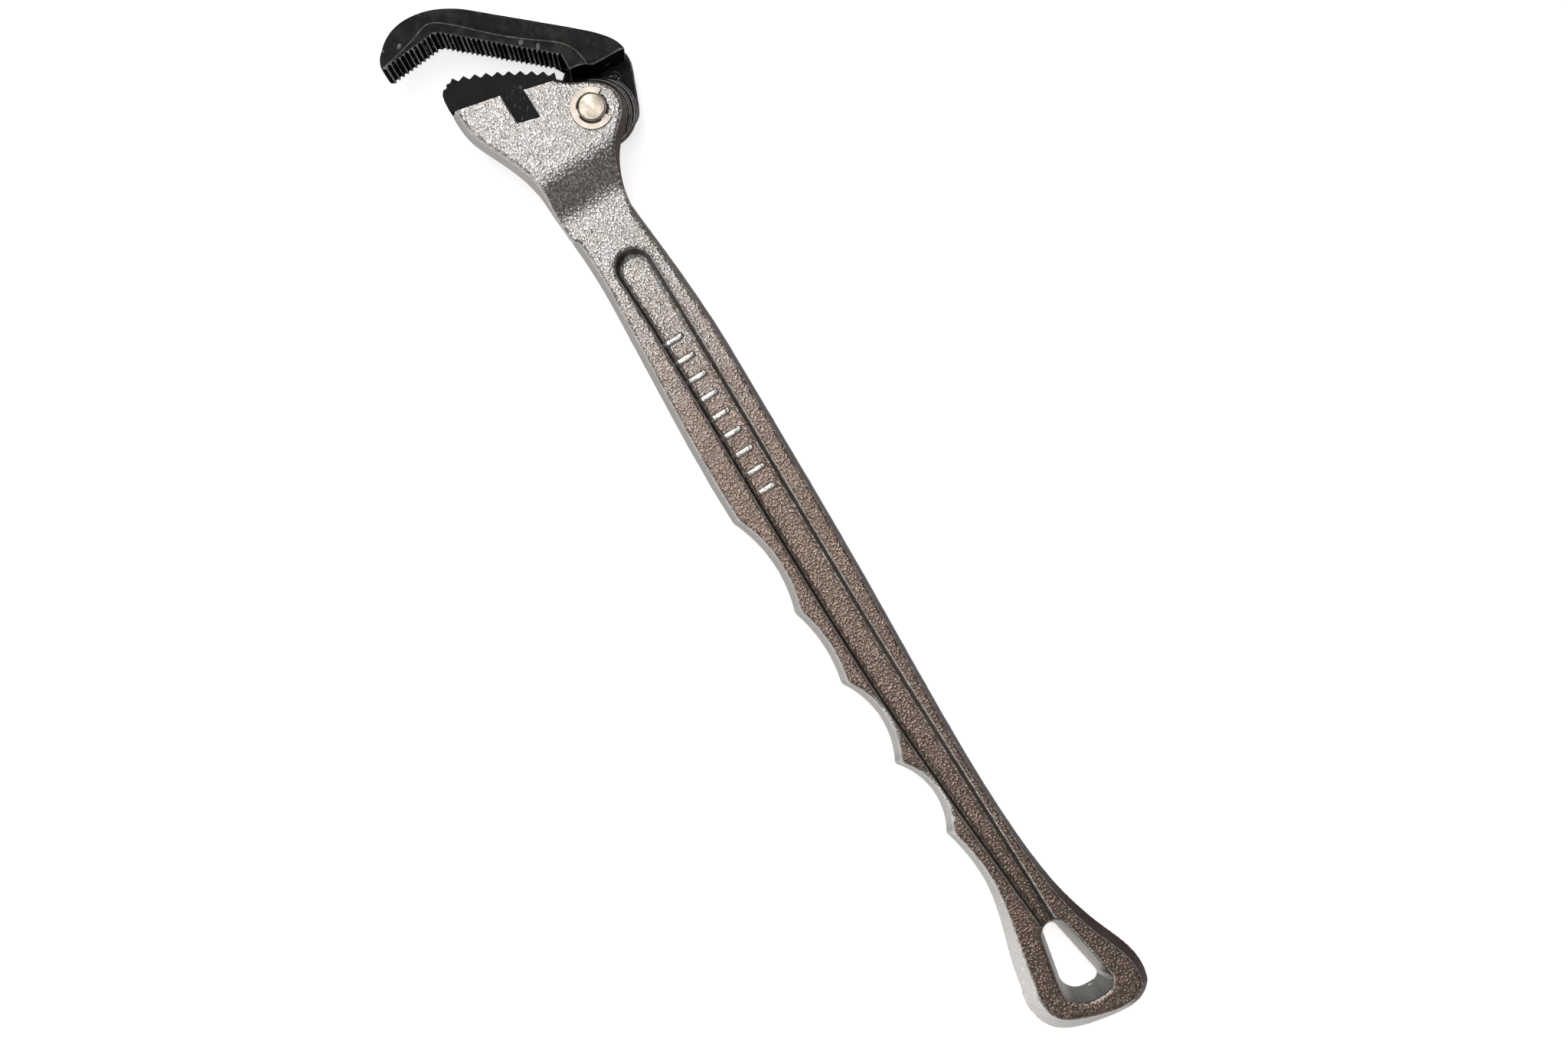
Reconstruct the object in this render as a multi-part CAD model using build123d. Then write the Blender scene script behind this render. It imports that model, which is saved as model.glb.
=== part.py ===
from build123d import *
import math
import os

# Self-adjusting pipe wrench with a spring-loaded hook jaw, 300 mm class.
# Design frame, in millimetres: the pivot pin's axis is Z through the origin, +X runs along the
# handle towards the head, +Y is the side that the jaws open to, and +Z is the front face.
# At the end the whole wrench is moved so that it lies on the ground plane, centred on the origin.

# ---- driving dimensions ----
HEAD_HALF = 6.0          # half the head plate's thickness
BAR_HALF = 6.0           # half the bar's thickness
CRANK = 5.0              # how far the bar is set back from the head
CRANK_NEAR = -7.0        # the crank's bend starts here, at the head
CRANK_FAR = -21.0        # and ends here, at the bar
DRAFT_INSET = 1.3        # each face is this much inside the parting line
FLARE_START = -214       # towards the flared end the draft grows, from here
FLARE_LENGTH = 22        # over this length
FLARE_DRAFT = (1.0, 1.8)  # by this much below and above the flare's middle
FLARE_MIDDLE = 12
PIN_R = 3.5
PIN_CLEARANCE = 0.05     # radial running clearance of the pin in the hook jaw
HOOK_FRONT = 6.0
HOOK_BACK = -13.5
PAD_STEP = 0.9           # the hook jaw's face is this much lower outside its raised pad
RIM_ROUND = 2.4          # rounding of the hook's outer rim
LUG_FRONT = -11.0
LUG_BACK = -17.0
BOSS_R = 5.4             # the lug's boss, inside the spring
RELIEF_R = 10.8          # room for the head plate's lobe and the spring to turn in
WASHER_R = 5.2
WASHER_T = 0.8
WASHER_BORE_R = 3.6
SPRING_WIRE_R = 0.7
SPRING_MEAN_R = 8.6
SPRING_CENTRE = (0.3, -1.8)  # the coil hangs off centre round the boss
SPRING_TOP = -6.8        # centre of the wire, at the plate and at the lug
SPRING_LOW = -10.2
SPRING_TURNS = 2.25
SPRING_LEG_ANGLE = -19.6  # where the coil leaves for the hole in the lug
SPRING_LEG = 5.9         # length of that straight leg
SPRING_LEG_R = 0.64      # the legs are a little thinner, so that they start inside the coil's ends
SPRING_HOLE_R = 1.0
SPRING_LEG_DEPTH = 4.0
SPRING_LEG_GAP = 0.5     # left below the fixed leg's end in its blind hole
SPRING_LEG_LAP = 0.6     # each leg starts this far inside the coil's end
SPRING_FIXED_LEG = 2.2   # length of the straight leg to the hole in the plate
SPRING_BEND_R = 1.0
POCKET_DEPTH = 3.0
POCKET_DRAFT = 0.9
HOLE_DRAFT = 2.1         # the hanging hole narrows by this much towards the back
HEEL_PITCH = 2.75
HEEL_TOOTH = 1.1
HOOK_PITCH = 1.24
HOOK_TOOTH = 0.95
PIN_END = 8.5            # the pin's plain end, above the clip
PIN_HEAD_R = 5.5
PIN_HEAD_T = 1.8
PIN_CHAMFER = 0.4
PIN_HEAD_CHAMFER = 0.5
CLIP_T = 0.7
CLIP_R = 5.3
CLIP_MOUTH_ANGLE = -101.0
CLIP_BORE_R = 3.75       # inside of the clip's ring, clear of the pin
CLIP_PRONG_ROOT = 4.4    # the prongs start here, inside the ring
CLIP_PRONG_WIDTH = 1.9
CLIP_PRONG_TURN = 58     # the side prongs stand this far from the mouth, in degrees
CLIP_MOUTH = (9.0, 8.2)  # reach and half width of the wedge that opens the mouth
GROOVE_R = 2.5
AIR = 0.1                # small gap between faces that slide on each other
OVER = 1.0               # how far a cutting shape reaches past what it cuts
BAR_MID = -CRANK
BAR_FRONT = BAR_MID + BAR_HALF
BAR_BACK = BAR_MID - BAR_HALF


def inset(stretches, depth):
    """The same outline moved inwards (anticlockwise outlines); depth is a number or a function of x, y."""
    ring = [point for stretch in stretches for point in stretch[:-1]]
    moved = {}
    for i, (x, y) in enumerate(ring):
        before, after = ring[i - 1], ring[(i + 1) % len(ring)]
        a = Vector(x - before[0], y - before[1]).normalized()
        b = Vector(after[0] - x, after[1] - y).normalized()
        normal = Vector(-a.Y - b.Y, a.X + b.X)
        here = depth(x, y) if callable(depth) else depth
        step = normal * (here / (1 + a.dot(b)))
        moved[(x, y)] = (x + step.X, y + step.Y)
    return [[moved[point] for point in stretch] for stretch in stretches]


def outline_edges(stretches, z):
    """Edges at height z: a stretch of 2 points is a line, of 3 an arc, and of more a smooth curve."""
    edges = []
    for stretch in stretches:
        points = [(x, y, z) for x, y in stretch]
        if len(points) == 2:
            edges.append(Line(*points))
        elif len(points) == 3:
            edges.append(ThreePointArc(*points))
        else:
            edges.append(Spline(*points))
    return edges


def flat(stretches, z):
    """A face at height z inside a closed outline."""
    return make_face(Wire(outline_edges(stretches, z)))


def prism(stretches, low, high):
    """An outline extruded straight from height low to height high."""
    return extrude(flat(stretches, low), amount=high - low, dir=(0, 0, 1))


def drafted(stretches, low, middle, high, depth):
    """A cast slab: full size at the parting line, smaller by depth at both faces."""
    small = inset(stretches, depth)
    lower = loft([flat(small, low), flat(stretches, middle)], ruled=True)
    upper = loft([flat(stretches, middle), flat(small, high)], ruled=True)
    return lower + upper


def disc(radius, low, high, centre=(0, 0)):
    """A cylinder along Z between two heights."""
    return Pos(centre[0], centre[1], (low + high) / 2) * Cylinder(radius, high - low)


# ---- outlines ----
HEEL_LINE_LOW = (10.4, 3.6)      # where the insert's back edge meets the plate, at the throat
HEEL_LINE_HIGH = (16.9, 29.4)    # and at the nose
TANG_TOP_ROOT = (14.2, 17.4)
TANG_TOP_END = (6.3, 17.4)
TANG_LOW_END = (4.7, 11.7)
TANG_LOW_ROOT = (12.4, 11.7)
HEAD_OUTLINE = [
    [(-25, 4.0), (-19, 2.9), (-14, 0.8), (-9, -3.0), (-5.5, -6.8), (-1, -8.6), (3.5, -7.4),
     (6.8, -4.2), (9.3, 0.4), (11.6, 3.1)],
    [(11.6, 3.1), (19.5, 29.7)],
    [(19.5, 29.7), (14.5, 29.8), (9.2, 29.2), (5, 27.6), (-3.7, 23.8), (-10, 22.2), (-18, 21.6), (-25, 21.4)],
    [(-25, 21.4), (-25, 4.0)],
]
BAR_LOWER = [(-255.6, -2.9), (-249.4, -3.9), (-237.2, -0.1), (-221, 4.2), (-205, 5.6), (-176, 5.5), (-130, 3.4),
             (-79, 1.9), (-59, 1.6), (-40, 2.4), (-21, 3.8), (-3, 3.8)]
SCALLOP_PEAKS = [(-104, 24.4), (-131, 23.3), (-152, 22.8), (-176, 22.1), (-197.5, 20.4)]
SCALLOP_VALLEYS = [(-118, 21.2), (-141.5, 21.5), (-164, 19.0), (-187, 17.6)]
BAR_UPPER_HEAD = [(-3, 21.6), (-20, 21.5), (-34, 20.9), (-46, 21.4), (-62, 22.5), (-84, 23.9), (-104, 24.4)]
BAR_UPPER_END = [(-197.5, 20.4), (-204, 19.0), (-210, 18.5), (-217, 19.1), (-228, 22.1), (-240, 25.1)]
BAR_END = [(-240, 25.1), (-247, 26.1), (-252.6, 23.8), (-256.4, 17.6), (-258.4, 9.4), (-258.6, 1.4), (-255.6, -2.9)]


def scallops():
    """The finger grip: an arc through each valley, from peak to peak."""
    return [[SCALLOP_PEAKS[i], SCALLOP_VALLEYS[i], SCALLOP_PEAKS[i + 1]] for i in range(len(SCALLOP_VALLEYS))]


BAR_OUTLINE = [BAR_LOWER, [(-3, 3.8), (-3, 21.6)], BAR_UPPER_HEAD] + scallops() + [BAR_UPPER_END, BAR_END]
POCKET_OUTLINE = [
    [(-234, 9.1), (-200, 8.9), (-160, 9.0), (-120, 8.5), (-80, 7.5), (-38, 6.8)],
    [(-38, 6.8), (-33.0, 11.6), (-38, 16.4)],
    [(-38, 16.4), (-60, 16.1), (-90, 16.6), (-130, 17.2), (-160, 17.0), (-195, 15.4), (-234, 12.9)],
    [(-234, 12.9), (-234, 9.1)],
]
HOLE_OUTLINE = [
    [(-248.4, 4.4), (-232.5, 7.1)],
    [(-232.5, 7.1), (-228.7, 10.9), (-232.5, 14.9)],
    [(-232.5, 14.9), (-245.3, 17.6)],
    [(-245.3, 17.6), (-249.3, 15.8), (-251.3, 12.2)],
    [(-251.3, 12.2), (-251.5, 8.6)],
    [(-251.5, 8.6), (-250.8, 5.9), (-248.4, 4.4)],
]


def bar_draft(x, y):
    """Draft of the bar's edge at a point of its outline."""
    flare = min(max((FLARE_START - x) / FLARE_LENGTH, 0), 1)
    return DRAFT_INSET + flare * FLARE_DRAFT[1 if y > FLARE_MIDDLE else 0]


def crank_profile():
    """The wrench seen from the side: a head plate and a bar set back from it, joined by an S-bend."""
    far, near, long = CRANK_FAR, CRANK_NEAR, 300
    front = Spline((far, 0, BAR_FRONT), (near, 0, HEAD_HALF), tangents=[(1, 0, 0), (1, 0, 0)])
    back = Spline((near, 0, -HEAD_HALF), (far, 0, BAR_BACK), tangents=[(-1, 0, 0), (-1, 0, 0)])
    edges = [
        Line((-long, 0, BAR_FRONT), (far, 0, BAR_FRONT)), front,
        Line((near, 0, HEAD_HALF), (long, 0, HEAD_HALF)), Line((long, 0, HEAD_HALF), (long, 0, -HEAD_HALF)),
        Line((long, 0, -HEAD_HALF), (near, 0, -HEAD_HALF)), back,
        Line((far, 0, BAR_BACK), (-long, 0, BAR_BACK)), Line((-long, 0, BAR_BACK), (-long, 0, BAR_FRONT)),
    ]
    face = make_face(Wire(edges))
    return extrude(face, amount=60, both=True)


# ---- heel jaw ----
SEAT_REACH = 16.0        # the seat cuts the plate away this far towards the throat
HEEL_ARC = [(12.2, 3.0), (19.6, 14.8), (24.0, 24.9)]
NOSE_TEETH = [(23.2, 25.9), (23.4, 26.9), (22.5, 27.4), (22.6, 28.3), (21.6, 29.1)]
NOSE_END = (20.0, 29.5)


def tooth_line(curve, pitch, depth, side):
    """Tips on the curve and roots at a depth to one side of it (+1 left, -1 right), from start to end."""
    count = round(curve.length / pitch)
    points = []
    for i in range(count):
        points.append(curve @ (i / count))
        middle = (i + 0.5) / count
        root = curve @ middle + (curve % middle).rotate(Axis.Z, 90 * side) * depth
        points.append(root)
    points.append(curve @ 1)
    return [(p.X, p.Y) for p in points]


def heel_seat(reach):
    """The T-slot's outline: a straight back edge with a tang, and reach beyond it on the open side."""
    low, high, root = Vector(*HEEL_LINE_LOW), Vector(*HEEL_LINE_HIGH), Vector(*TANG_TOP_ROOT)
    throat_side = low + (Vector(*HEEL_ARC[0]) - low).normalized() * reach
    beyond = high + (high - root).normalized() * 2
    ring = [(p.X, p.Y) for p in (low, throat_side, throat_side + Vector(9, 40), beyond)]
    return ring + [TANG_TOP_ROOT, TANG_TOP_END, TANG_LOW_END, TANG_LOW_ROOT]


def polygon(points, low, high):
    """A straight-sided prism over a ring of corners."""
    ring = Polyline(*[(x, y, low) for x, y in points], close=True)
    return extrude(make_face(ring), amount=high - low, dir=(0, 0, 1))


HEEL_PIN_AT = (10.2, 11.7)
HEEL_PIN_R = 2.0
HEEL_PIN_HOLE = 9.0      # depth of its hole
HEEL_PIN_WALL = 0.8
HEEL_PIN_SLOT = 0.9
HEEL_PIN_SUNK = 0.2      # the pin is driven this far below the plate's back


def heel_jaw():
    """Hardened insert: a toothed blade with a tang, as thick as the plate."""
    teeth = tooth_line(ThreePointArc(*[(x, y, 0) for x, y in HEEL_ARC]), HEEL_PITCH, HEEL_TOOTH, 1)
    ring = [HEEL_LINE_LOW] + teeth + NOSE_TEETH + [NOSE_END, HEEL_LINE_HIGH]
    ring += [TANG_TOP_ROOT, TANG_TOP_END, TANG_LOW_END, TANG_LOW_ROOT]
    body = polygon(ring, -HEAD_HALF, HEAD_HALF)
    return body - heel_pin_hole()


def heel_pin_hole():
    """Blind hole from the back, half in the plate and half in the tang."""
    return disc(HEEL_PIN_R, -HEAD_HALF - OVER, -HEAD_HALF + HEEL_PIN_HOLE, HEEL_PIN_AT)


def heel_jaw_pin():
    """Slotted spring pin, pressed in from the back."""
    pin = disc(HEEL_PIN_R, -HEAD_HALF + HEEL_PIN_SUNK, -HEAD_HALF + HEEL_PIN_HOLE, HEEL_PIN_AT)
    bore = disc(HEEL_PIN_R - HEEL_PIN_WALL, -HEAD_HALF - OVER, HEAD_HALF, HEEL_PIN_AT)
    slot = Pos(HEEL_PIN_AT[0] + HEEL_PIN_R, HEEL_PIN_AT[1], 0) * Box(2 * HEEL_PIN_R, HEEL_PIN_SLOT, 4 * HEAD_HALF)
    return pin - bore - slot


# ---- handle ----
def pocket():
    """The groove that makes the bar an I-section: drafted walls, one in front and one behind."""
    floor = inset(POCKET_OUTLINE, POCKET_DRAFT)
    front = loft([flat(floor, BAR_FRONT - POCKET_DEPTH), flat(POCKET_OUTLINE, BAR_FRONT)], ruled=True)
    back = loft([flat(floor, BAR_BACK + POCKET_DEPTH), flat(POCKET_OUTLINE, BAR_BACK)], ruled=True)
    return front + back


def handle():
    """Head plate, crank, bar and flared end in one casting, with its pockets, holes and T-slot."""
    head = drafted(HEAD_OUTLINE, -HEAD_HALF, 0, HEAD_HALF, DRAFT_INSET)
    bar = drafted(BAR_OUTLINE, BAR_BACK, BAR_MID, BAR_FRONT, bar_draft)
    body = (head + bar) & crank_profile()
    body -= pocket()
    body -= loft([flat(inset(HOLE_OUTLINE, HOLE_DRAFT), BAR_BACK), flat(HOLE_OUTLINE, BAR_FRONT)], ruled=True)
    body -= polygon(heel_seat(SEAT_REACH), -HEAD_HALF - OVER, HEAD_HALF + OVER)
    body -= heel_pin_hole()
    body -= disc(PIN_R, -HEAD_HALF - OVER, HEAD_HALF + OVER)
    anchor = spring_start()
    body -= disc(SPRING_HOLE_R, -HEAD_HALF - OVER, -HEAD_HALF + SPRING_LEG_DEPTH, anchor)
    return body


# ---- hook jaw ----
V_CORNER = (35.0, 22.7)
THROAT = (14.3, -0.5)
HOOK_TIP = (33.9, 36.9)
HOOK_OUTER = [
    [(34.8, 38.3), (36.8, 37.8), (39.1, 35.8)],
    [(39.1, 35.8), (42.2, 30.5), (42.3, 24.0), (39.9, 17.4), (35.7, 11.6)],
    [(35.7, 11.6), (20.5, -5.7)],
    [(20.5, -5.7), (17.2, -9.3), (14.0, -12.3), (11.2, -14.1), (8.6, -14.8)],
    [(8.6, -14.8), (8.9, -7.0)],
    [(8.9, -7.0), (9.9, -0.3)],
    [(9.9, -0.3), THROAT],
]
PAD_EDGE = [(34.9, 37.6), (35.9, 32.5), (37.2, 27.5), (38.3, 22.9), (36.6, 19.7), (31.2, 14.0), (21.9, 3.4),
            (18.8, -0.7), (15.8, -3.5), (12.9, -4.6), (9.2, -4.9)]
ARM_OUTLINE = [
    [(6.8, 8.1), (1.0, 9.6), (-4.4, 7.6), (-6.8, 3.4), (-7.1, -1.0), (-6.6, -5.0), (-5.8, -8.1), (-4.2, -10.6),
     (-1.0, -12.3), (5, -14.8), (9, -15.8), (13, -14.3), (17.0, -10.3), (19.8, -6.1)],
    [(19.8, -6.1), (21.4, -2.8)],
    [(21.4, -2.8), (16.8, 0.9)],
    [(16.8, 0.9), (14.2, -0.5)],
    [(14.2, -0.5), (6.8, 8.1)],
]


def tooth_rows():
    """The two rows of the V, as one zigzag from the throat to the hook's tip."""
    row = tooth_line(Line((*THROAT, 0), (*V_CORNER, 0)), HOOK_PITCH, HOOK_TOOTH, -1)
    short = tooth_line(Line((*V_CORNER, 0), (*HOOK_TIP, 0)), HOOK_PITCH, HOOK_TOOTH, -1)
    return row + short[1:]


def hook_jaw():
    """Swinging jaw: a thick toothed hook, stepped back to a lug that turns on the pin."""
    teeth = Polyline(*[(x, y, 0) for x, y in tooth_rows()])
    tip = Line((*HOOK_TIP, 0), (*HOOK_OUTER[0][0], 0))
    plan = make_face(Wire(teeth.edges() + [tip] + outline_edges(HOOK_OUTER, 0)))
    border = extrude(Pos(0, 0, HOOK_BACK + PAD_STEP) * plan, amount=HOOK_FRONT - HOOK_BACK - 2 * PAD_STEP)
    border = fillet([edge for edge in border.edges() if on_outer_rim(edge)], RIM_ROUND)
    body = extrude(Pos(0, 0, HOOK_BACK) * plan, amount=HOOK_FRONT - HOOK_BACK)
    body = border + (body & pad_block())
    body -= disc(RELIEF_R, LUG_FRONT, HOOK_FRONT + OVER)
    body += prism(ARM_OUTLINE, LUG_BACK, LUG_FRONT)
    body += disc(BOSS_R, LUG_FRONT, boss_top())
    body -= disc(PIN_R + PIN_CLEARANCE, LUG_BACK - OVER, HOOK_FRONT)
    body -= disc(SPRING_HOLE_R, LUG_BACK - OVER, LUG_FRONT + OVER, spring_hole())
    return body


def on_outer_rim(edge):
    """True for the forged border's rim, away from the teeth and from the step beside the lug."""
    centre, box = edge.center(), edge.bounding_box()
    level = box.max.Z - box.min.Z < 0.01
    outside = centre.X > 35.2 or (centre.X > 10 and centre.X - centre.Y > 16)
    return level and outside and edge.length > 3


def pad_block():
    """Everything on the teeth's side of the raised pad's edge."""
    edges = [Spline(*[(x, y, HOOK_BACK) for x, y in PAD_EDGE])]
    far = [PAD_EDGE[-1], (2, -4.9), (2, 60), (34.9, 60), PAD_EDGE[0]]
    edges += Polyline(*[(x, y, HOOK_BACK) for x, y in far]).edges()
    return extrude(make_face(Wire(edges)), amount=HOOK_FRONT - HOOK_BACK)


def boss_top():
    """Height of the boss's end face, just short of the thrust washer."""
    return -HEAD_HALF - WASHER_T - AIR


# ---- pivot pin, clip, washer and spring ----
def pivot_pin():
    """Headed pin from the back, with a groove for the clip beyond the head plate."""
    shank = disc(PIN_R, LUG_BACK - AIR, PIN_END)
    end = shank.edges().filter_by(GeomType.CIRCLE).sort_by(Axis.Z)[-1]
    shank = chamfer(end, PIN_CHAMFER)
    groove = disc(PIN_R + OVER, HEAD_HALF + AIR / 2, HEAD_HALF + AIR * 3 / 2 + CLIP_T)
    shank -= groove - disc(GROOVE_R, HEAD_HALF, PIN_END)
    head = disc(PIN_HEAD_R, LUG_BACK - AIR - PIN_HEAD_T, LUG_BACK - AIR)
    head = chamfer(head.edges().filter_by(GeomType.CIRCLE).sort_by(Axis.Z)[0], PIN_HEAD_CHAMFER)
    return shank + head


def retaining_clip():
    """E-clip: an open ring whose three prongs sit in the pin's groove."""
    low = HEAD_HALF + AIR
    below, above = low - OVER, low + CLIP_T + OVER
    ring = disc(CLIP_R, low, low + CLIP_T) - disc(CLIP_BORE_R, below, above)
    length, middle = CLIP_PRONG_ROOT - GROOVE_R, (CLIP_PRONG_ROOT + GROOVE_R) / 2
    for turn in (180, CLIP_PRONG_TURN, -CLIP_PRONG_TURN):
        prong = Pos(middle, 0, low + CLIP_T / 2) * Box(length, CLIP_PRONG_WIDTH, CLIP_T)
        ring += Rot(0, 0, CLIP_MOUTH_ANGLE + turn) * prong
    ring -= disc(GROOVE_R, below, above)
    reach, half = CLIP_MOUTH
    mouth = polygon([(0, 0), (reach, -half), (reach, half)], below, above)
    return ring - Rot(0, 0, CLIP_MOUTH_ANGLE) * mouth


def thrust_washer():
    """Plain ring between the plate's back and the jaw's boss."""
    low = -HEAD_HALF - WASHER_T
    return disc(WASHER_R, low, -HEAD_HALF) - disc(WASHER_BORE_R, low - OVER, 0)


def on_coil(angle, beyond=0.0):
    """The point of the coil at an angle, or the one a distance further along its tangent there."""
    a = math.radians(angle)
    x = SPRING_CENTRE[0] + SPRING_MEAN_R * math.cos(a) - beyond * math.sin(a)
    y = SPRING_CENTRE[1] + SPRING_MEAN_R * math.sin(a) + beyond * math.cos(a)
    return x, y


def spring_hole():
    """The hole in the lug that takes the spring's moving leg."""
    return on_coil(SPRING_LEG_ANGLE, -SPRING_LEG)


def spring_start():
    """The blind hole in the plate's back that takes the spring's fixed leg."""
    return on_coil(SPRING_LEG_ANGLE + 360 * SPRING_TURNS, SPRING_FIXED_LEG)


def leg(start, hole, z, end_z):
    """Round wire that leaves the coil on a tangent and bends into a hole."""
    path = FilletPolyline((*start, z), (*hole, z), (*hole, end_z), radius=SPRING_BEND_R)
    section = Plane(origin=path @ 0, z_dir=path % 0) * Circle(SPRING_LEG_R)
    return sweep(section, path=path)


def torsion_spring():
    """Round wire coil round the boss, with a leg in the plate and a leg in the lug."""
    height = SPRING_TOP - SPRING_LOW
    coil = Helix(pitch=height / SPRING_TURNS, height=height, radius=SPRING_MEAN_R)
    path = Pos(*SPRING_CENTRE, SPRING_LOW) * Rot(0, 0, SPRING_LEG_ANGLE) * coil
    section = Plane(origin=path @ 0, z_dir=path % 0) * Circle(SPRING_WIRE_R)
    wire = sweep(section, path=path, is_frenet=True)
    top_angle = SPRING_LEG_ANGLE + 360 * SPRING_TURNS
    fixed_end = -HEAD_HALF + SPRING_LEG_DEPTH - SPRING_LEG_GAP
    wire += leg(on_coil(top_angle, -SPRING_LEG_LAP), spring_start(), SPRING_TOP, fixed_end)
    moving_end = LUG_FRONT - SPRING_LEG_DEPTH
    wire += leg(on_coil(SPRING_LEG_ANGLE, SPRING_LEG_LAP), spring_hole(), SPRING_LOW, moving_end)
    return wire


# ---- assembly ----
def main():
    """Builds every piece, puts the wrench on the ground and writes one file per piece."""
    pieces = {
        "handle": handle(),
        "heel_jaw": heel_jaw(),
        "heel_jaw_pin": heel_jaw_pin(),
        "hook_jaw": hook_jaw(),
        "pivot_pin": pivot_pin(),
        "retaining_clip": retaining_clip(),
        "thrust_washer": thrust_washer(),
        "torsion_spring": torsion_spring(),
    }
    box = Compound(children=[Compound(piece.solids()) for piece in pieces.values()]).bounding_box()
    place = Pos(-box.center().X, -box.center().Y, -box.min.Z)
    os.makedirs("parts", exist_ok=True)
    for name, piece in pieces.items():
        print(name, len(piece.solids()), piece.is_valid, round(piece.volume, 1))
        export_step(place * Compound(piece.solids()), "parts/" + name + ".step")
    print("pivot in the row frame", -box.center().X, -box.center().Y, -box.min.Z)
    print("size", box.size)


main()
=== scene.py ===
# %% [markdown]
# # A self-adjusting pipe wrench, dressed around its CAD frame
# The frame holds every piece at its true size: a cast handle, a toothed heel insert, a hook jaw on a pivot
# pin, a torsion spring, a thrust washer and an E-clip. Blender adds what CAD leaves out: the rounded and
# slightly uneven skin of a casting, worn edges, the real coil of the spring, and the finishes.

# %% Load the frame
import math

import bpy
from mathutils import Matrix, Vector


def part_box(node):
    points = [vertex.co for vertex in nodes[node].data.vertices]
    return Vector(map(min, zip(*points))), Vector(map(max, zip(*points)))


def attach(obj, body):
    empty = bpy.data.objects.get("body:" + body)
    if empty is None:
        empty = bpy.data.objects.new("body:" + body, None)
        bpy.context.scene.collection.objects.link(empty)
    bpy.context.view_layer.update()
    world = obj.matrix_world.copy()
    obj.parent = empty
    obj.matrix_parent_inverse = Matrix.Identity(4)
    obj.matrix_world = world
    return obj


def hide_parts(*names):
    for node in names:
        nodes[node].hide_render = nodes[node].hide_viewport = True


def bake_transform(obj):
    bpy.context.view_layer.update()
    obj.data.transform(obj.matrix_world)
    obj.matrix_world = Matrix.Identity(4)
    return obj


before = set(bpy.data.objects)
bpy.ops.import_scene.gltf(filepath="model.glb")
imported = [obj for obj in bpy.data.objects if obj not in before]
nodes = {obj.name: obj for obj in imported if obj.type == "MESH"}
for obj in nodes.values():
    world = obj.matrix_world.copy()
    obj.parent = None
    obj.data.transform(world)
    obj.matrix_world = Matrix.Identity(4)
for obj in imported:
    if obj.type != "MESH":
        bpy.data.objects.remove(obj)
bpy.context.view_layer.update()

# %% [markdown]
# The wrench is easiest to think about in its own millimetres: the pivot pin's axis is the origin, +X runs
# along the handle to the head, +Y is the side that the jaws open to, and z is 0 in the middle of the head
# plate. The pin's box in the frame says where that origin is.

# %% The wrench's own millimetres
MM = 0.001
PIN_TOP = 8.5   # the pin's plain end is this far above the middle of the head plate
pin_low, pin_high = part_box("pivot_pin")
PIVOT = Vector(((pin_low.x + pin_high.x) / 2, (pin_low.y + pin_high.y) / 2, pin_high.z - PIN_TOP * MM))


def at(x, y, z):
    """A point given in the wrench's own millimetres, as metres in the frame."""
    return PIVOT + Vector((x, y, z)) * MM


print("pivot:", [round(c, 5) for c in PIVOT])

# %% [markdown]
# The camera looks almost straight down on the wrench lying on its back, turned so that the head points up
# and to the left.

# %% Camera
CAMERA_TURN = math.radians(32.15)   # from the handle's axis to the view's upright
LENS = 55.9
SENSOR_WIDTH = 36

camera_at, camera_aim = at(-96.7, 38.8, 599.3), at(-110.2, 14.0, 6.0)
back = (camera_at - camera_aim).normalized()
upright = Vector((math.cos(CAMERA_TURN), -math.sin(CAMERA_TURN), 0))
right = upright.cross(back).normalized()
bpy.ops.object.camera_add()
camera = bpy.context.object
camera.name = "camera"
axes = Matrix((right, back.cross(right), back)).transposed()
camera.matrix_world = Matrix.Translation(camera_at) @ axes.to_4x4()
camera.data.lens = LENS
camera.data.sensor_width = SENSOR_WIDTH
camera.data.clip_start, camera.data.clip_end = 0.01, 20
bpy.context.scene.camera = camera
print("camera:", [round(c, 4) for c in camera_at])

# %% [markdown]
# Every light is a softbox. One bright box hangs high beyond the head, so the head's face mirrors it and the
# brightness falls off along the bar, which mirrors mostly the dark, slightly warm room; the casting's colour
# adds painted dimming along the bar. A weak box over the bar fills it in, and low boxes at the sides light
# the flanks, whose colour also carries painted light and shade. The floor is a plain white sweep that glows a
# little, like a light table. It is made very wide, so that its edge never shows.

# %% Lights, world and floor
ROOM = (0.135, 0.115, 0.103)
FLOOR_SIZE = 30     # metres
FLOOR_GLOW = 0.64

bpy.context.scene.view_settings.view_transform = "Standard"
world = bpy.data.worlds.new("room")
bpy.context.scene.world = world
world.use_nodes = True
sky = world.node_tree.nodes["Background"]
sky.inputs["Color"].default_value = (*ROOM, 1)
sky.inputs["Strength"].default_value = 1.0


def softbox(name, place, aim, width, height, radiance):
    """A rectangular light that faces a point; radiance is how bright its face looks."""
    bpy.ops.object.light_add(type="AREA")
    box = bpy.context.object
    box.name = name
    box.data.shape = "RECTANGLE"
    box.data.size, box.data.size_y = width, height
    box.data.energy = radiance * math.pi * width * height
    box.location = place
    box.rotation_euler = (aim - place).to_track_quat("-Z", "Y").to_euler()
    return box


middle = at(-100, 12, 0)
softbox("over_head", at(372, 0, 1000), at(0, 10, 0), 0.36, 1.1, 4.7)
softbox("over_bar", at(-150, 0, 1000), middle, 0.55, 1.1, 0.35)
softbox("left_side", at(-130, 900, 520), middle, 1.1, 0.5, 1.5)
softbox("handle_end", at(-950, 120, 420), middle, 0.6, 0.5, 0.45)
softbox("right_side", at(-40, -850, 380), middle, 0.9, 0.4, 0.5)

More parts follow.
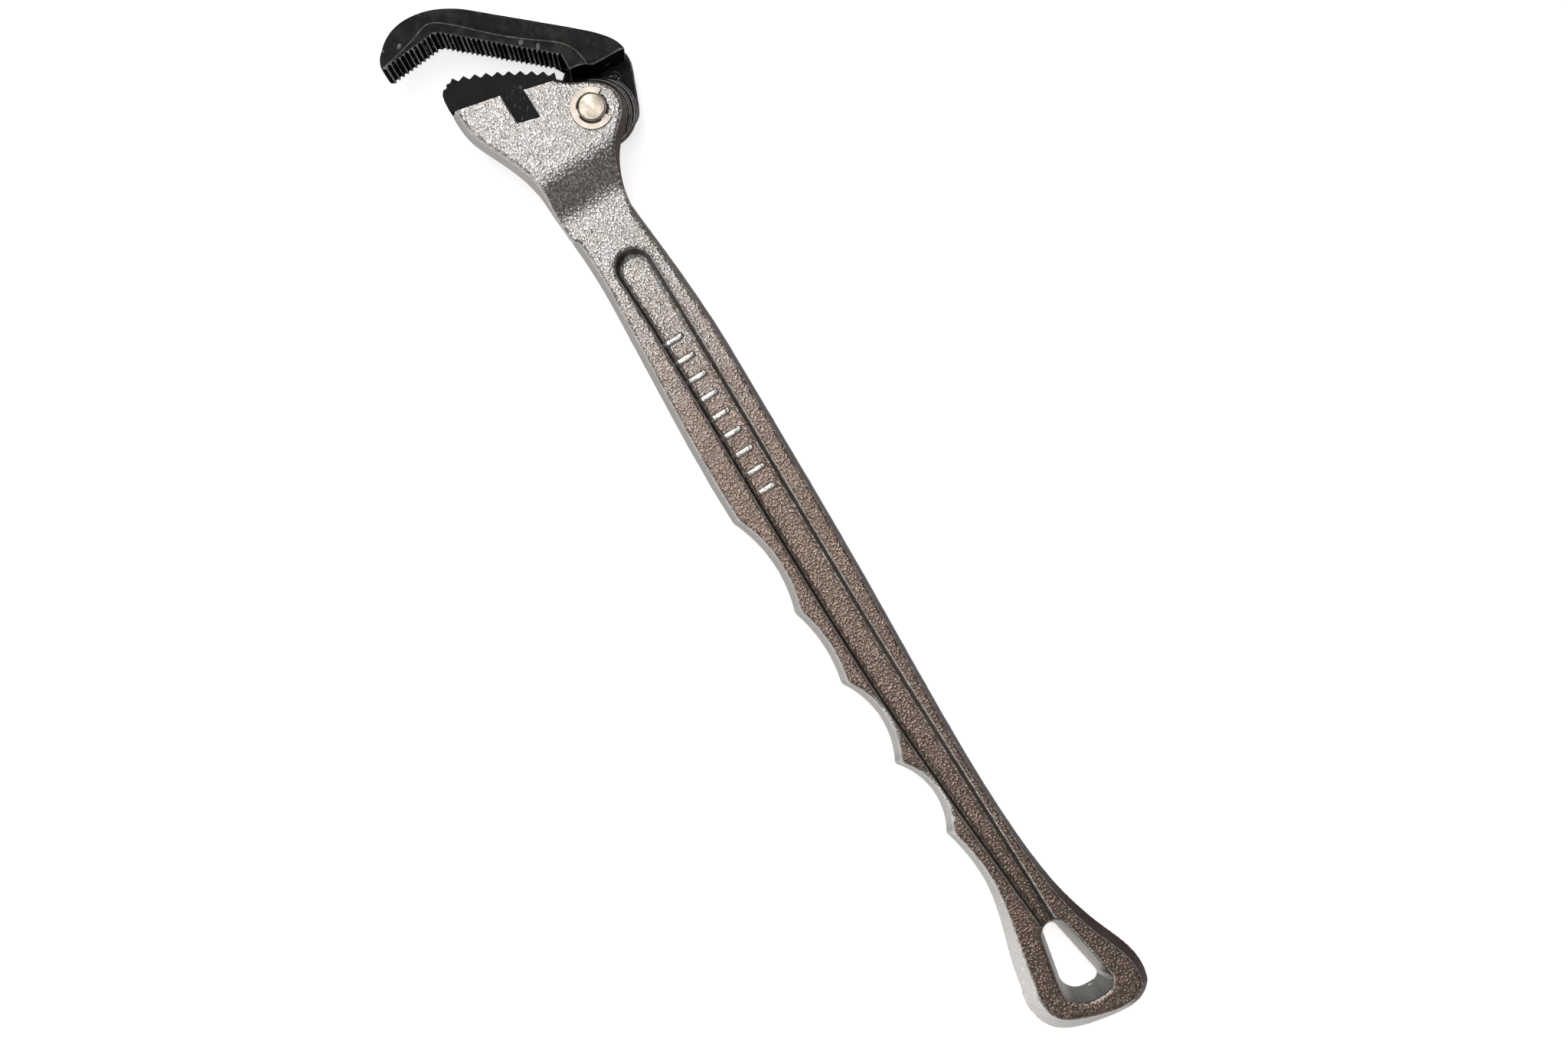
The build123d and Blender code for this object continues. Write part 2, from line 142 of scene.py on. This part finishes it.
bpy.ops.mesh.primitive_plane_add(size=FLOOR_SIZE)
floor = bpy.context.object
floor.name = "floor"
paper = bpy.data.materials.new("paper_sweep")
paper.use_nodes = True
surface = paper.node_tree.nodes["Principled BSDF"]
surface.inputs["Base Color"].default_value = (0.9, 0.9, 0.9, 1)
surface.inputs["Roughness"].default_value = 0.8
surface.inputs["Emission Color"].default_value = (1, 1, 1, 1)
surface.inputs["Emission Strength"].default_value = FLOOR_GLOW
floor.data.materials.append(paper)

# %% [markdown]
# ## Tools for shaping
# A copy of a CAD solid, merged into one skin, is a good blank. A voxel remesh covers it in even squares, and
# smoothing those rounds every edge a little, the way a sand mould or a forging die does.

# %% Shaping helpers
MERGE = 1e-6


def only(*objects):
    """Deselects everything, then selects these objects; the first is the active one."""
    if bpy.context.object and bpy.context.object.mode != "OBJECT":
        bpy.ops.object.mode_set(mode="OBJECT")
    bpy.ops.object.select_all(action="DESELECT")
    for item in objects:
        item.select_set(True)
    bpy.context.view_layer.objects.active = objects[0]


def merged_copy(node, name):
    """An object of its own with a CAD node's shape, its loose triangles merged into one skin."""
    copy = bpy.data.objects.new(name, nodes[node].data.copy())
    bpy.context.scene.collection.objects.link(copy)
    copy.data.materials.clear()
    only(copy)
    bpy.ops.object.mode_set(mode="EDIT")
    bpy.ops.mesh.select_all(action="SELECT")
    bpy.ops.mesh.remove_doubles(threshold=MERGE)
    bpy.ops.object.mode_set(mode="OBJECT")
    bpy.ops.mesh.customdata_custom_splitnormals_clear()
    return copy


def apply_modifier(obj, kind, **settings):
    """Adds one modifier with these settings and applies it."""
    only(obj)
    modifier = obj.modifiers.new(kind.lower(), kind)
    for key, value in settings.items():
        setattr(modifier, key, value)
    bpy.ops.object.modifier_apply(modifier=modifier.name)


def skin_over(obj, voxel, rounds):
    """Covers a blank in even squares of a size in mm and rounds its edges."""
    apply_modifier(obj, "REMESH", mode="VOXEL", voxel_size=voxel * MM)
    apply_modifier(obj, "SMOOTH", factor=0.5, iterations=rounds)


def roughen(obj, size, depth):
    """Makes a surface slightly uneven: lumps of a size and a total depth in mm."""
    lumps = bpy.data.textures.new(obj.name + "_lumps", "CLOUDS")
    lumps.noise_scale = size * MM
    lumps.noise_depth = 2
    apply_modifier(obj, "DISPLACE", texture=lumps, texture_coords="LOCAL", strength=depth * MM, mid_level=0.5)


def triangles(obj):
    """How many triangles a mesh has."""
    return sum(len(face.vertices) - 2 for face in obj.data.polygons)


def thin_out(obj, most):
    """Collapses a mesh to at most this many triangles."""
    share = most / triangles(obj)
    if share < 1:
        apply_modifier(obj, "DECIMATE", ratio=share)
    print(obj.name, "has", triangles(obj), "triangles")


def smooth_shade(obj, degrees=40):
    """Smooth shading that keeps edges sharper than this angle."""
    only(obj)
    bpy.ops.object.shade_smooth_by_angle(angle=math.radians(degrees))


# %% [markdown]
# ## The cast handle
# The real handle is a sand casting, so it has no sharp edge except where the T-slot for the heel insert is
# machined. The slot is first plugged with the insert's own shape, drawn back a little, so that the rounding
# doesn't reach it. The skin then gets the low, slow waves that a sand mould leaves.

# %% Plug the slot and skin the casting
SLOT_MIDDLE = (14, 17, 0)
PLUG_BACK = 0.7         # mm, how far the plug is drawn back into the plate
PLUG_WIDTH = 0.95       # share of the insert's width
CASTING_SKIN = 0.48     # mm, the squares of the skin
MOST_TRIANGLES = 190000

casting = merged_copy("handle", "handle_casting")
plug = merged_copy("heel_jaw", "slot_plug")
bpy.ops.object.mode_set(mode="EDIT")
bpy.ops.transform.translate(value=(-PLUG_BACK * MM, 0, 0))
bpy.ops.transform.resize(value=(1, PLUG_WIDTH, 1), center_override=at(*SLOT_MIDDLE))
only(casting, plug)
bpy.ops.object.join()
skin_over(casting, CASTING_SKIN, 3)
roughen(casting, 9, 0.07)
print("casting skinned:", triangles(casting), "triangles")

# %% [markdown]
# The T-slot is milled after casting, so its edges are sharp. The insert itself is the cutter. It is stretched
# through the plate's thickness, so that it cuts clean through both faces.

# %% Cut the slot
THROUGH_PLATE = 1.3

cutter = merged_copy("heel_jaw", "slot_cutter")
bpy.ops.object.mode_set(mode="EDIT")
bpy.ops.transform.resize(value=(1, 1, THROUGH_PLATE), center_override=at(*SLOT_MIDDLE))
bpy.ops.object.mode_set(mode="OBJECT")
apply_modifier(casting, "BOOLEAN", operation="DIFFERENCE", object=cutter, solver="MANIFOLD")
bpy.data.objects.remove(cutter)
print("slot cut:", triangles(casting), "triangles")

# %% [markdown]
# Nine plain ribs are cast across the floor of the front groove. One rounded bar is repeated along the groove
# and joined to the casting, because on the real handle they come out of the same mould.

# %% Cast ribs in the groove
RIB_COUNT = 9
RIB_PITCH = 5.4
FIRST_RIB = (-101, 12.6, -2.0)    # its middle, on the groove's floor
RIB_SIZE = (1.7, 5.2, 1.5)        # along the groove, across it, and high

bpy.ops.mesh.primitive_cube_add(size=1, location=at(*FIRST_RIB))
ribs = bpy.context.object
ribs.scale = [side * MM for side in RIB_SIZE]
bpy.ops.object.transform_apply(location=True, rotation=False, scale=True)
apply_modifier(ribs, "BEVEL", width=0.5 * MM, segments=3, limit_method="NONE")
apply_modifier(ribs, "ARRAY", count=RIB_COUNT, use_relative_offset=False, use_constant_offset=True,
               constant_offset_displace=(RIB_PITCH * MM, 0, 0))
apply_modifier(casting, "BOOLEAN", operation="UNION", object=ribs, solver="MANIFOLD")
bpy.data.objects.remove(ribs)
thin_out(casting, MOST_TRIANGLES)
smooth_shade(casting, 50)

# %% [markdown]
# ## The jaws
# The heel insert and the hook are hardened steel with cut teeth. Their skin is finer, so that the teeth stay
# crisp, and their edges are only just broken.

# %% Heel insert and hook
heel = merged_copy("heel_jaw", "heel_insert")
skin_over(heel, 0.16, 3)
thin_out(heel, 90000)
smooth_shade(heel)

hook = merged_copy("hook_jaw", "hook_forging")
skin_over(hook, 0.22, 2)
roughen(hook, 5, 0.08)
thin_out(hook, MOST_TRIANGLES)
smooth_shade(hook)

# %% [markdown]
# ## Pin and clip
# The pin is turned on a lathe, so it is drawn ring by ring up its axis: the head behind the hook, the shank,
# the groove for the clip, and the chamfered end. The thrust washer and the insert's pin are plain shapes that
# hardly show, so they keep their CAD shape.

# %% Turned pieces
TURNED_SIDES = 96


def turned(name, rings):
    """A solid of revolution about the pivot axis, from (radius, height) rings in mm, lowest first."""
    radius, height = rings[0]
    bpy.ops.object.select_all(action="DESELECT")
    bpy.ops.mesh.primitive_circle_add(vertices=TURNED_SIDES, radius=radius * MM, fill_type="NGON",
                                      location=at(0, 0, height))
    piece = bpy.context.object
    piece.name = name
    bpy.ops.object.transform_apply(location=True, rotation=False, scale=False)
    bpy.ops.object.mode_set(mode="EDIT")
    bpy.ops.mesh.select_all(action="SELECT")
    for next_radius, next_height in rings[1:]:
        rise = (0, 0, (next_height - height) * MM)
        bpy.ops.mesh.extrude_region_move(TRANSFORM_OT_translate={"value": rise})
        share = next_radius / radius
        bpy.ops.transform.resize(value=(share, share, 1), center_override=at(0, 0, next_height))
        radius, height = next_radius, next_height
    bpy.ops.mesh.select_all(action="SELECT")
    bpy.ops.mesh.normals_make_consistent(inside=False)
    bpy.ops.object.mode_set(mode="OBJECT")
    return piece


pin = turned("pivot_pin_turned", [
    (4.9, -18.9), (5.5, -18.4), (5.5, -17.1), (3.5, -17.1), (3.5, 6.05), (2.5, 6.05), (2.5, 6.85),
    (3.5, 6.85), (3.5, 8.1), (3.1, 8.5)])
apply_modifier(pin, "BEVEL", width=0.09 * MM, segments=2, angle_limit=math.radians(30))
smooth_shade(pin)
print(pin.name, "has", triangles(pin), "triangles")

# %% [markdown]
# The E-clip is stamped from strip, and its punched edges are slightly rolled.

# %% E-clip
clip = merged_copy("retaining_clip", "e_clip")
skin_over(clip, 0.085, 4)
thin_out(clip, 60000)
smooth_shade(clip)

# %% [markdown]
# ## The torsion spring
# Two and a quarter turns of round wire sit between the head plate and the hook's lug. The coil isn't
# central: the turns near the lug hang lower than those near the plate, so they show side by side round the
# plate's lobe. One leg is bent into the plate and the other into the lug. When the hook swings, the coil
# winds up; here the wire is one fixed mesh on no body.

# %% Coil the wire
WIRE_R = 0.7
COIL_LOW, COIL_TOP = -10.2, -6.8
LUG_HOLE = (6.42, -10.24)
PLATE_HOLE = (1.11, 7.04)
FIRST_ANGLE, COIL_SWEEP = -17.6, 808.0
STEPS = 72                  # straight steps along the coil
LEG_RUN = (2.4, 1.0)        # mm from the hole, where the leg still lies flat
LEG_DIVE = (0.0, 0.25, 0.6, 1.0)   # shares of the way down into the hole
LUG_LEG_END, PLATE_LEG_END = -14.8, -2.6
COIL_STAGES = [  # share of the way from the lug to the plate, then the turn's centre and radius
    (0.0, 0.4, -2.2, 8.6),
    (0.38, 0.4, -2.2, 8.6),
    (0.65, 0.5, -1.0, 8.4),
    (0.88, 0.5, -1.0, 8.4),
    (1.0, 0.3, -1.8, 8.6),
]


def coil_point(share):
    """The wire's centre at a share of the way up the coil."""
    for low, high in zip(COIL_STAGES, COIL_STAGES[1:]):
        if share <= high[0]:
            break
    mix = (share - low[0]) / (high[0] - low[0])
    x, y, radius = (a + (b - a) * mix for a, b in zip(low[1:], high[1:]))
    angle = math.radians(FIRST_ANGLE + COIL_SWEEP * share)
    z = COIL_LOW + (COIL_TOP - COIL_LOW) * share
    return x + radius * math.cos(angle), y + radius * math.sin(angle), z


def bent_leg(inner, hole, z, end_z):
    """From the coil's end to a hole, where the wire bends round into it."""
    x, y = hole
    away = Vector((inner[0] - x, inner[1] - y)).normalized()
    lying = [(x + away.x * run, y + away.y * run, z) for run in LEG_RUN]
    diving = [(x, y, z + (end_z - z) * share) for share in LEG_DIVE]
    return lying + diving


coil = [coil_point(step / STEPS) for step in range(STEPS + 1)]
lug_leg = bent_leg(coil[0], LUG_HOLE, COIL_LOW, LUG_LEG_END)
plate_leg = bent_leg(coil[-1], PLATE_HOLE, COIL_TOP, PLATE_LEG_END)
route = lug_leg[::-1] + coil + plate_leg[1:]

wire = bpy.data.curves.new("spring_wire", "CURVE")
wire.dimensions = "3D"
wire.bevel_depth = WIRE_R * MM
wire.bevel_resolution = 6
wire.resolution_u = 4
wire.use_fill_caps = True
line = wire.splines.new("NURBS")
line.points.add(len(route) - 1)
for point, place in zip(line.points, route):
    point.co = (*at(*place), 1)
line.order_u = 3
line.use_endpoint_u = True
spring = bpy.data.objects.new("torsion_coil", wire)
bpy.context.scene.collection.objects.link(spring)
only(spring)
bpy.ops.object.convert(target="MESH")
spring = bpy.context.object
smooth_shade(spring)
print(spring.name, "has", triangles(spring), "triangles")

# %% [markdown]
# ## Finishes
# Some effects are shared by several materials, so each is a node group: the grain of a casting, and the wear
# on a convex edge. A group only hands out masks and heights, and each material decides what to do with them.

# %% Node helpers
def add_node(tree, kind, inputs=None, **settings):
    """Adds a node, sets its properties, and links or sets its inputs."""
    made = tree.nodes.new(kind)
    for key, value in settings.items():
        setattr(made, key, value)
    for name, value in (inputs or {}).items():
        if isinstance(value, bpy.types.NodeSocket):
            tree.links.new(value, made.inputs[name])
        else:
            made.inputs[name].default_value = value
    return made


def calc(tree, operation, first, second=0.0, clamp=False):
    """The result of one math node."""
    made = add_node(tree, "ShaderNodeMath", {0: first, 1: second}, operation=operation, use_clamp=clamp)
    return made.outputs[0]


def ramp(tree, value, low, high, to_low=0.0, to_high=1.0):
    """Maps a value from one range to another, smoothly, and stops at the ends."""
    made = add_node(tree, "ShaderNodeMapRange", {"Value": value, "From Min": low, "From Max": high,
                    "To Min": to_low, "To Max": to_high}, interpolation_type="SMOOTHSTEP")
    return made.outputs["Result"]


def mixed(tree, share, first, second):
    """Mixes two colours."""
    made = add_node(tree, "ShaderNodeMix", {"Factor": share}, data_type="RGBA")
    for index, colour in ((6, first), (7, second)):
        if isinstance(colour, bpy.types.NodeSocket):
            tree.links.new(colour, made.inputs[index])
        else:
            made.inputs[index].default_value = (*colour, 1)
    return made.outputs[2]


def new_group(name, inputs, outputs):
    """An empty node group with float inputs and outputs; returns the tree and its two end nodes."""
    tree = bpy.data.node_groups.new(name, "ShaderNodeTree")
    for socket, default in inputs:
        made = tree.interface.new_socket(socket, in_out="INPUT", socket_type="NodeSocketFloat")
        made.default_value = default
    for socket in outputs:
        tree.interface.new_socket(socket, in_out="OUTPUT", socket_type="NodeSocketFloat")
    return tree, tree.nodes.new("NodeGroupInput"), tree.nodes.new("NodeGroupOutput")


def noise(tree, vector, scale, detail=2.0, roughness=0.5):
    """A noise texture's value."""
    made = add_node(tree, "ShaderNodeTexNoise", {"Vector": vector, "Scale": scale, "Detail": detail,
                                                 "Roughness": roughness})
    return made.outputs["Fac"]


# %% [markdown]
# A sand casting's skin is a print of packed grains: pebbles from a cell texture, finer sand over them, and a
# slow swell below. The group also hands out broad patches, for stains that ignore the grain.

# %% Grain group
grain_tree, grain_in, grain_out = new_group("cast_grain", [("Per metre", 1100.0)], ["Height", "Patches"])
grain_place = grain_tree.nodes.new("ShaderNodeTexCoord").outputs["Object"]
per_metre = grain_in.outputs["Per metre"]
cells = add_node(grain_tree, "ShaderNodeTexVoronoi", {"Vector": grain_place, "Scale": per_metre},
                 feature="F1")
pebbles = ramp(grain_tree, cells.outputs["Distance"], 0.75, 0.05)
sand = noise(grain_tree, grain_place, per_metre, 3.0, 0.6)
swell = noise(grain_tree, grain_place, calc(grain_tree, "MULTIPLY", per_metre, 0.28), 2.0)
height_sum = calc(grain_tree, "ADD", calc(grain_tree, "MULTIPLY", pebbles, 0.4),
                  calc(grain_tree, "MULTIPLY", sand, 0.9))
height_sum = calc(grain_tree, "ADD", height_sum, calc(grain_tree, "MULTIPLY", swell, 0.3))
grain_tree.links.new(height_sum, grain_out.inputs["Height"])
patches = noise(grain_tree, grain_place, calc(grain_tree, "MULTIPLY", per_metre, 0.12), 4.0, 0.65)
grain_tree.links.new(patches, grain_out.inputs["Patches"])

# %% [markdown]
# Handling rubs a finish off the convex edges first. The edges come from how sharply the surface bends, and
# noise breaks them up, since no edge wears evenly.

# %% Edge wear group
wear_tree, wear_in, wear_out = new_group("edge_wear", [("From", 0.52), ("To", 0.6), ("Break-up", 0.5)],
                                         ["Edges"])
sharpness = wear_tree.nodes.new("ShaderNodeNewGeometry").outputs["Pointiness"]
wear_place = wear_tree.nodes.new("ShaderNodeTexCoord").outputs["Object"]
edges = ramp(wear_tree, sharpness, wear_in.outputs["From"], wear_in.outputs["To"])
scuffs = ramp(wear_tree, noise(wear_tree, wear_place, 700.0, 3.0, 0.7), 0.35, 0.6)
kept = calc(wear_tree, "SUBTRACT", 1.0, calc(wear_tree, "MULTIPLY", wear_in.outputs["Break-up"], scuffs))
wear_tree.links.new(calc(wear_tree, "MULTIPLY", edges, kept), wear_out.inputs["Edges"])
print("groups:", [group.name for group in bpy.data.node_groups])


def use_group(tree, group, **values):
    """Places a node group in a material and sets its inputs."""
    made = tree.nodes.new("ShaderNodeGroup")
    made.node_tree = group
    for name, value in values.items():
        made.inputs[name].default_value = value
    return made


def new_material(name):
    """A material with its Principled BSDF, ready to be wired."""
    material = bpy.data.materials.new(name)
    material.use_nodes = True
    return material, material.node_tree, material.node_tree.nodes["Principled BSDF"]


def surface_normal(tree):
    """The direction that the surface faces, as separate X, Y and Z."""
    normal = tree.nodes.new("ShaderNodeNewGeometry").outputs["Normal"]
    return add_node(tree, "ShaderNodeSeparateXYZ", {0: normal}).outputs


def wire_up(tree, shader, **sockets):
    """Links outputs to the shader's inputs, or sets constants on them; underscores stand for spaces."""
    for name, value in sockets.items():
        socket = shader.inputs[name.replace("_", " ")]
        if isinstance(value, bpy.types.NodeSocket):
            tree.links.new(value, socket)
        elif isinstance(value, tuple):
            socket.default_value = (*value, 1)
        else:
            socket.default_value = value


def bump(tree, height, distance, strength=1.0):
    """The normal from a height, for a relief of a depth in mm."""
    made = add_node(tree, "ShaderNodeBump", {"Height": height, "Distance": distance * MM,
                                             "Strength": strength})
    return made.outputs["Normal"]


# %% [markdown]
# ** Plated casting.** Bright plating over a sandy skin. The pits between the grains carry painted shade and
# the tops of the grains carry painted glints, over a relief that catches the light. Along the bar the open
# faces are painted darker and browner: partly handling patina, mostly a painted reflection of the dark, warm
# room. Convex edges stay bright: partly rubbed wear, partly a painted highlight. The steep flanks are painted
# with light and shade by where they are and which way they face: painted dim near the head, painted lighter
# towards the handle's end, painted shade on the far side, and painted shade in the walls that face the head,
# such as the end of the hanging hole.

# %% Plated casting
PLATING = (0.55, 0.54, 0.525)
BROWN_PATINA_AND_PAINTED_DIM = (0.30, 0.225, 0.185)
RUBBED_AND_HIGHLIT = (0.78, 0.77, 0.75)
PAINTED_DIM_FLANK = (0.44, 0.43, 0.42)
PAINTED_LIT_FLANK = (0.62, 0.61, 0.59)
PAINTED_SHADE_HEAD_FACING = (0.2, 0.2, 0.19)
PAINTED_SHADE_FAR_FLANK = (0.06, 0.045, 0.042)
PAINTED_SHADE_IN_PITS = (0.10, 0.08, 0.07)
DIM_STARTS, DIM_FULL = -20.0, -95.0       # along the handle, in the wrench's own mm
LIT_FLANK_STARTS, LIT_FLANK_FULL = -70.0, -235.0
FAR_SIDE, NEAR_SIDE = 8.0, 12.0               # across the handle; the painted shade on the far flank thins out between them

plated, tree, shader = new_material("plated_casting")
grain = use_group(tree, grain_tree, **{"Per metre": 1500.0})
wear = use_group(tree, wear_tree, **{"From": 0.515, "To": 0.56, "Break-up": 0.35})
place = add_node(tree, "ShaderNodeSeparateXYZ", {0: tree.nodes.new("ShaderNodeTexCoord").outputs["Object"]})
facing = surface_normal(tree)
level = calc(tree, "ABSOLUTE", facing["Z"])
open_face = ramp(tree, level, 0.75, 0.95)
wander = calc(tree, "MULTIPLY", calc(tree, "SUBTRACT", grain.outputs["Patches"], 0.5), 60 * MM)
along = calc(tree, "ADD", place.outputs["X"], wander)
# Painted dimming along the bar: partly handling patina, mostly a painted reflection of the dark room.
dim_along_bar = ramp(tree, along, at(DIM_STARTS, 0, 0).x, at(DIM_FULL, 0, 0).x)
dimmed_and_browned = calc(tree, "MULTIPLY", calc(tree, "MULTIPLY", dim_along_bar, open_face),
               calc(tree, "SUBTRACT", 1.0, wear.outputs["Edges"]))
colour = mixed(tree, dimmed_and_browned, PLATING, BROWN_PATINA_AND_PAINTED_DIM)
# Painted shade in the grain's pits, then painted glints on the grain's tops.
pit_shade_share = ramp(tree, grain.outputs["Height"], 0.95, 0.6, 0.0, 0.65)
colour = mixed(tree, pit_shade_share, colour, PAINTED_SHADE_IN_PITS)
painted_glints = ramp(tree, grain.outputs["Height"], 0.92, 1.2, 0.0, 0.5)
colour = mixed(tree, painted_glints, colour, RUBBED_AND_HIGHLIT)
# The flanks take painted light and shade instead of the face's colour: dim near the head, lighter towards the
# end.
steep = ramp(tree, level, 0.8, 0.55)
lit_flank_share = ramp(tree, along, at(LIT_FLANK_STARTS, 0, 0).x, at(LIT_FLANK_FULL, 0, 0).x)
far_share = ramp(tree, place.outputs["Y"], at(0, FAR_SIDE, 0).y, at(0, NEAR_SIDE, 0).y, 1.0, 0.35)
# Painted shade on the flanks that face the far side.
painted_far_shade = calc(tree, "MULTIPLY", ramp(tree, facing["Y"], 0.15, -0.25), far_share)
flank = mixed(tree, painted_far_shade, mixed(tree, lit_flank_share, PAINTED_DIM_FLANK, PAINTED_LIT_FLANK), PAINTED_SHADE_FAR_FLANK)
# Painted shade on walls that face the head.
flank = mixed(tree, ramp(tree, facing["X"], 0.3, 0.7), flank, PAINTED_SHADE_HEAD_FACING)
colour = mixed(tree, steep, colour, flank)
# Convex edges lightened: partly rubbed wear, partly a painted highlight, held back where the far flank has
# painted shade.
edge_wear_and_highlight_share = calc(tree, "SUBTRACT", 0.8, calc(tree, "MULTIPLY", painted_far_shade, 0.7))
worn_and_highlit_edges = calc(tree, "MULTIPLY", wear.outputs["Edges"], edge_wear_and_highlight_share)
colour = mixed(tree, worn_and_highlit_edges, colour, RUBBED_AND_HIGHLIT)
rough = ramp(tree, grain.outputs["Patches"], 0.35, 0.65, 0.27, 0.31)
relief = calc(tree, "MULTIPLY", grain.outputs["Height"],
              calc(tree, "SUBTRACT", 1.0, calc(tree, "MULTIPLY", wear.outputs["Edges"], 0.7)))
wire_up(tree, shader, Base_Color=colour, Metallic=1.0, Roughness=rough, Specular_Tint=(0.4, 0.4, 0.4),
        Normal=bump(tree, relief, 0.16, 1.0))
print("made", plated.name)

# %% [markdown]
# ** Black jaws.** Hardened steel with a black oxide finish: nearly no colour, hardly any sheen, and bare metal
# where corners have rubbed. Steep walls, such as the tooth flanks, are painted in shade. One function makes
# two finishes, because the machined insert is even and sharp, while the forged hook is mottled and more worn.

# %% Black jaws
OXIDE = (0.026, 0.026, 0.027)
PAINTED_SHADE_STEEP_OXIDE = (0.005, 0.005, 0.005)
BARE_STEEL = (0.30, 0.29, 0.28)


def black_finish(name, worn_from, worn_to, worn, dust):
    """Black oxide with painted shade on steep walls; the wear shows on edges sharper than worn_from, as
    bright as worn.
    """
    material, tree, shader = new_material(name)
    grain = use_group(tree, grain_tree, **{"Per metre": 1900.0})
    wear = use_group(tree, wear_tree, **{"From": worn_from, "To": worn_to, "Break-up": 0.6})
    steep = ramp(tree, calc(tree, "ABSOLUTE", surface_normal(tree)["Z"]), 0.6, 0.3)
    dusty = ramp(tree, grain.outputs["Patches"], 0.42, 0.68)
    colour = mixed(tree, dusty, OXIDE, dust)
    # Painted shade on steep walls.
    colour = mixed(tree, steep, colour, PAINTED_SHADE_STEEP_OXIDE)
    colour = mixed(tree, calc(tree, "MULTIPLY", wear.outputs["Edges"], worn), colour, BARE_STEEL)
    rough = ramp(tree, grain.outputs["Height"], 0.5, 1.1, 0.5, 0.62)
    metal = calc(tree, "MULTIPLY", wear.outputs["Edges"], 0.5)
    wire_up(tree, shader, Base_Color=colour, Roughness=rough, Metallic=metal, Specular_IOR_Level=0.0,
            Normal=bump(tree, grain.outputs["Height"], 0.06, 0.6))
    return material


black = black_finish("black_oxide", 0.62, 0.75, 0.25, (0.03, 0.03, 0.03))
black_forged = black_finish("black_forging", 0.507, 0.535, 0.8, (0.052, 0.05, 0.047))
print("made", black.name, "and", black_forged.name)

# %% [markdown]
# **Small steel.** The clip has a pale copper-coloured plating, the pin is bare turned steel with a yellow
# passivation, and the spring is dark oil-tempered wire.

# %% Clip, pin and spring wire
copper, tree, shader = new_material("clip_plating")
wear = use_group(tree, wear_tree, **{"From": 0.53, "To": 0.62, "Break-up": 0.4})
place = tree.nodes.new("ShaderNodeTexCoord").outputs["Object"]
mottle = noise(tree, place, 450.0, 4.0, 0.6)
colour = mixed(tree, ramp(tree, mottle, 0.35, 0.65), (0.31, 0.27, 0.235), (0.37, 0.33, 0.29))
colour = mixed(tree, wear.outputs["Edges"], colour, (0.50, 0.45, 0.40))
wire_up(tree, shader, Base_Color=colour, Metallic=1.0, Roughness=ramp(tree, mottle, 0.3, 0.7, 0.28, 0.42),
        Normal=bump(tree, mottle, 0.03, 0.5))

turned_steel, tree, shader = new_material("turned_pin_steel")
place = tree.nodes.new("ShaderNodeTexCoord").outputs["Object"]
centred = add_node(tree, "ShaderNodeMapping", {"Vector": place, "Location": (-PIVOT.x, -PIVOT.y, 0)})
rings = add_node(tree, "ShaderNodeTexWave", {"Vector": centred.outputs["Vector"], "Scale": 900.0,
                 "Distortion": 0.6, "Detail": 2.0}, wave_type="RINGS", rings_direction="Z")
smudge = noise(tree, place, 380.0, 3.0, 0.6)
colour = mixed(tree, ramp(tree, smudge, 0.4, 0.62), (0.42, 0.375, 0.32), (0.31, 0.27, 0.22))
wire_up(tree, shader, Base_Color=colour, Metallic=1.0, Roughness=ramp(tree, smudge, 0.3, 0.7, 0.26, 0.4),
        Normal=bump(tree, rings.outputs["Fac"], 0.02, 0.35))

dark_wire, tree, shader = new_material("spring_wire")
place = tree.nodes.new("ShaderNodeTexCoord").outputs["Object"]
drawn = noise(tree, place, 900.0, 3.0, 0.6)
colour = mixed(tree, ramp(tree, drawn, 0.35, 0.65), (0.08, 0.077, 0.075), (0.17, 0.165, 0.16))
wire_up(tree, shader, Base_Color=colour, Metallic=0.85, Roughness=ramp(tree, drawn, 0.3, 0.7, 0.3, 0.45),
        Normal=bump(tree, drawn, 0.02, 0.4))
print("made", copper.name + ",", turned_steel.name, "and", dark_wire.name)

# %% [markdown]
# ## Putting it together
# Each finished piece stands for its CAD node, rides on that node's body, and takes the finish listed with it;
# the slot names in the list are not used. The spring rides on no body.

# %% Dress, ride and replace
PIECES = [
    (casting, "handle", "handle_body", "cast_handle", plated),
    (heel, "heel_jaw", "handle_body", "black_jaw", black),
    (hook, "hook_jaw", "hook_body", "black_jaw", black_forged),
    (pin, "pivot_pin", "handle_body", "pin_steel", turned_steel),
    (clip, "retaining_clip", "handle_body", "copper_clip", copper),
    (spring, "torsion_spring", None, "spring_steel", dark_wire),
]
for piece, node_name, body, slot, material in PIECES:
    piece.data.materials.clear()
    piece.data.materials.append(material)
    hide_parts(node_name)
    if body:
        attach(piece, body)
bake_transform(spring)
for node_name in ("heel_jaw_pin", "thrust_washer"):
    nodes[node_name].data.materials.clear()
    nodes[node_name].data.materials.append(turned_steel)
print("dressed:", [piece.name for piece, *rest in PIECES])
